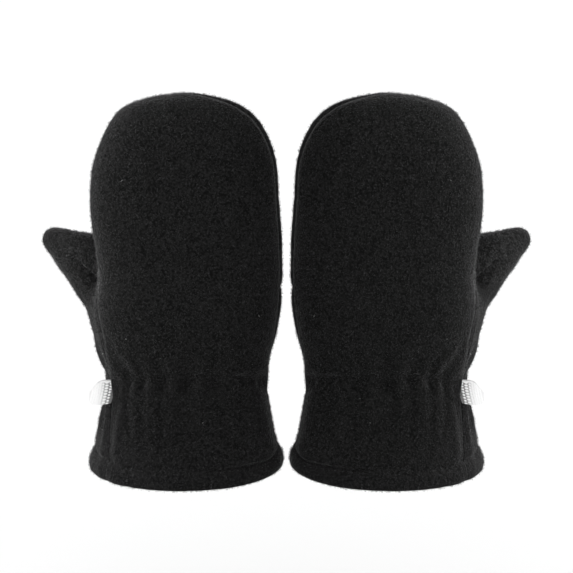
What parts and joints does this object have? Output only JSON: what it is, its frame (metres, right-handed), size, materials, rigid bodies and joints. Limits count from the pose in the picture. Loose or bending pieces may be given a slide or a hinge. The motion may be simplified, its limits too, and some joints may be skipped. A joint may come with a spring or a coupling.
{
  "type": "pair of baby mittens",
  "caption": "Baby mittens in black fleece, filled out as when worn, with elastic gathers at the wrist, a turned-up hem, an open cuff and a small white tape tab in the side seam.",
  "frame": {"origin": "midway between the two wrists, at the height where the elastics cross the side seams", "axes": "+Z towards the fingertips, -Y towards the backs of the hands, +X towards the left hand's mitten; the thumbs point out along +X and -X"},
  "size_m": [0.1892, 0.056, 0.1434],
  "materials": {
    "black_fleece": "matt brushed fleece nap",
    "white_tape": "woven white tape with a soft shine"
  },
  "bodies": {
    "root": {"right_back": "black_fleece", "right_palm_base": "black_fleece", "right_palm_top": "black_fleece", "right_tape_tab": "white_tape", "left_back": "black_fleece", "left_palm_base": "black_fleece", "left_palm_top": "black_fleece", "left_tape_tab": "white_tape"}
  },
  "joints": []
}
